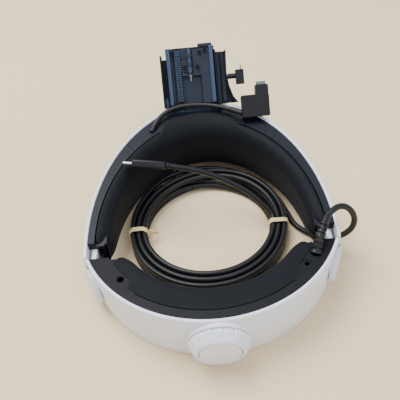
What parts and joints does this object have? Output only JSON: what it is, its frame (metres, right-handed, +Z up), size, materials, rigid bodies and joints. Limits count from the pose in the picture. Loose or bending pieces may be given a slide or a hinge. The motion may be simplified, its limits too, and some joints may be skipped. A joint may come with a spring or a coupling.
{
  "type": "headset head strap",
  "caption": "Rigid halo head strap of a viewing headset: padded front band with a viewer bracket, and a rear unit with a tightening dial and audio jack.",
  "frame": {"origin": "on the floor, under the middle of the strap's bounding box without its cords", "axes": "+X to the right seen from the rear dial, +Y from the rear unit towards the forehead end, +Z up as it stands"},
  "size_m": [0.2098, 0.263, 0.108],
  "materials": {
    "white_plastic": "satin moulded plastic",
    "dark_plastic": "fine-grained moulded plastic",
    "screw_steel": "zinc plated",
    "pad_foam": "soft matt skin over foam",
    "board": "solder mask",
    "holder_plastic": "satin moulded plastic with a faint lilac tint",
    "inner_plastic": "unpainted moulded plastic",
    "cord_jacket": "matt cable jacket",
    "plug_plastic": "satin moulded plastic",
    "plug_steel": "bright plated steel",
    "rubber_band": "matt natural rubber",
    "spring_steel": "bright wire",
    "bracket_plastic": "satin moulded plastic",
    "rail_plastic": "smooth moulded plastic",
    "gold_contact": "gold plated",
    "grey_plastic": "satin moulded plastic"
  },
  "bodies": {
    "rear_unit": {"rear_shell": "white_plastic", "rear_housing": "dark_plastic", "rear_base_plate": "dark_plastic", "rear_base_screws": "screw_steel", "rear_pad": "pad_foam", "headphone_jack": "dark_plastic", "jack_board": "board", "plug_rest_socket": "dark_plastic", "earbud_holder_left": "holder_plastic", "earbud_holder_right": "holder_plastic", "dial_bush": "inner_plastic", "detent_plate": "inner_plastic", "side_arm_left": "white_plastic", "side_arm_right": "white_plastic", "strain_relief": "cord_jacket", "cord_lead": "cord_jacket", "cord_coil": "cord_jacket", "cord_tail": "cord_jacket", "plug_body": "plug_plastic", "plug_tip": "plug_steel", "rubber_band_left": "rubber_band", "rubber_band_right": "rubber_band"},
    "dial": {"dial_knob": "white_plastic", "dial_shaft": "screw_steel", "dial_pinion": "inner_plastic", "button_spring": "spring_steel"},
    "button": {"release_button": "white_plastic"},
    "rack_left": {"strap_rack_left": "inner_plastic"},
    "rack_right": {"strap_rack_right": "inner_plastic"},
    "front_band": {"front_shell": "white_plastic", "frame_side_left": "dark_plastic", "frame_corner_left": "dark_plastic", "frame_front_left": "dark_plastic", "frame_centre": "dark_plastic", "frame_front_right": "dark_plastic", "frame_corner_right": "dark_plastic", "frame_side_right": "dark_plastic", "pad_carrier": "dark_plastic", "forehead_pad": "pad_foam", "flex_strap_left": "dark_plastic", "flex_strap_right": "dark_plastic", "bracket_tray": "bracket_plastic", "bracket_rail_left": "rail_plastic", "bracket_rail_right": "rail_plastic", "bracket_rack": "bracket_plastic", "bracket_window_plate": "bracket_plastic", "bracket_step_plate": "rail_plastic", "bracket_hooks": "bracket_plastic", "bracket_end_tab": "bracket_plastic", "bracket_screws": "screw_steel", "latch_guides": "bracket_plastic", "stub_boot": "cord_jacket", "stub_connector": "plug_plastic", "stub_contact": "gold_contact", "link_cable": "cord_jacket", "link_plug": "plug_plastic", "link_plug_tongue": "grey_plastic", "cable_clip": "grey_plastic"},
    "latch": {"latch_rod": "grey_plastic"}
  },
  "joints": [
    {"name": "band_slide", "type": "slide", "parent": "rear_unit", "child": "front_band", "axis": [0, 1, 0], "range_m": [0, 0.025], "deforming": ["flex_strap_left", "flex_strap_right"]},
    {"name": "dial_turn", "type": "hinge", "parent": "rear_unit", "child": "dial", "pos_m": [0, -0.11877, 0.0225], "axis": [0, -0.9925, -0.1219], "range_deg": [0, 240]},
    {"name": "rack_left_slide", "type": "slide", "parent": "rear_unit", "child": "rack_left", "axis": [-1, 0, 0], "range_m": [0, 0.0252]},
    {"name": "rack_right_slide", "type": "slide", "parent": "rear_unit", "child": "rack_right", "axis": [1, 0, 0], "range_m": [0, 0.0252]},
    {"name": "button_press", "type": "slide", "parent": "dial", "child": "button", "axis": [0, 0.9925, 0.1219], "range_m": [0, 0.0015], "stiffness_N_per_m": 800, "springref_m": -0.0005, "deforming": ["button_spring"]},
    {"name": "latch_slide", "type": "slide", "parent": "front_band", "child": "latch", "axis": [0, -0.5707, -0.8211], "range_m": [0, 0.004], "stiffness_N_per_m": 300, "springref_m": -0.001}
  ],
  "couplings": [
    {"joint": "dial_turn", "follows": "band_slide", "rad_per_m": 166.67},
    {"joint": "rack_left_slide", "follows": "band_slide", "ratio": 1},
    {"joint": "rack_right_slide", "follows": "band_slide", "ratio": 1}
  ]
}
